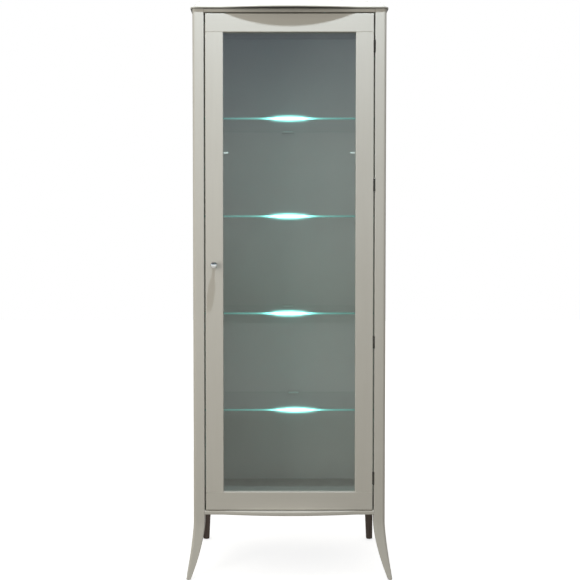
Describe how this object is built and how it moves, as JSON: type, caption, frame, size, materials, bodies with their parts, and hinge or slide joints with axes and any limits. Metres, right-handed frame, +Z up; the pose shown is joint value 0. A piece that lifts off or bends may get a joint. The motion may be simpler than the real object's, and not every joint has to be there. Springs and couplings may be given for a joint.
{
  "type": "curio cabinet",
  "caption": "Tall, narrow display cabinet on sabre legs, with a framed glass door, glass shelves lit from their back edges and a bowed, moulded top.",
  "frame": {"origin": "on the floor, under the middle of the overall box, from the knob to the back and over the flared feet", "axes": "+Z up; +Y from the door to the back; +X to the right as seen from the front, so the hinges are at +X"},
  "size_m": [0.645, 0.415, 1.8],
  "materials": {
    "lacquer": "satin pearl-grey lacquer over timber and fibreboard",
    "dark_stain": "dark brown stain, satin",
    "beech": "bare beech",
    "door_glass": "clear float glass",
    "shelf_glass": "clear float glass with polished green edges",
    "light_housing": "silver-grey moulded plastic",
    "light_lens": "frosted lens, lit",
    "hinge_steel": "nickel-plated steel",
    "chrome": "bright chrome plate",
    "zinc_steel": "zinc-plated steel",
    "catch_plastic": "pale grey moulded plastic",
    "magnet": "ferrite magnet",
    "clear_pad": "clear silicone",
    "glide_plastic": "hard white nylon",
    "black_plastic": "black moulded plastic"
  },
  "bodies": {
    "cabinet": {"back_panel": "lacquer", "back_panel_screws": "zinc_steel", "bottom_board": "lacquer", "catch_bodies": "catch_plastic", "catch_magnets": "magnet", "ceiling_panel": "lacquer", "frieze_rail": "lacquer", "front_left_leg_post": "lacquer", "front_right_leg_post": "lacquer", "glass_shelf_1": "shelf_glass", "glass_shelf_2": "shelf_glass", "glass_shelf_3": "shelf_glass", "glass_shelf_4": "shelf_glass", "hinge_pin_1": "hinge_steel", "hinge_pin_2": "hinge_steel", "hinge_pin_3": "hinge_steel", "hinge_pin_4": "hinge_steel", "hinge_post_leaf_1": "hinge_steel", "hinge_post_leaf_2": "hinge_steel", "hinge_post_leaf_3": "hinge_steel", "hinge_post_leaf_4": "hinge_steel", "left_side_panel": "lacquer", "leg_glides": "glide_plastic", "light_clip_1": "light_housing", "light_clip_2": "light_housing", "light_clip_3": "light_housing", "light_clip_4": "light_housing", "light_lens_1": "light_lens", "light_lens_2": "light_lens", "light_lens_3": "light_lens", "light_lens_4": "light_lens", "post_hinge_screws": "zinc_steel", "power_inlet": "black_plastic", "rear_left_leg": "dark_stain", "rear_leg_bolts": "zinc_steel", "rear_right_leg": "dark_stain", "right_side_panel": "lacquer", "shelf_pads": "clear_pad", "shelf_pegs": "chrome", "top_board": "lacquer"},
    "door": {"door_top_rail": "lacquer", "door_bottom_rail": "lacquer", "door_hinge_stile": "lacquer", "door_knob_stile": "lacquer", "door_dowels": "beech", "door_glass": "door_glass", "glazing_bead_top": "lacquer", "glazing_bead_bottom": "lacquer", "glazing_bead_left": "lacquer", "glazing_bead_right": "lacquer", "glass_clips": "chrome", "door_knob": "chrome", "knob_screw": "zinc_steel", "strike_plates": "zinc_steel", "door_hinge_screws": "zinc_steel", "hinge_door_leaf_1": "hinge_steel", "hinge_door_leaf_2": "hinge_steel", "hinge_door_leaf_3": "hinge_steel", "hinge_door_leaf_4": "hinge_steel"}
  },
  "joints": [
    {"name": "door_hinge", "type": "hinge", "parent": "cabinet", "child": "door", "pos_m": [0.26275, -0.1765, 0.9875], "axis": [0, 0, 1], "range_deg": [0, 110]}
  ]
}
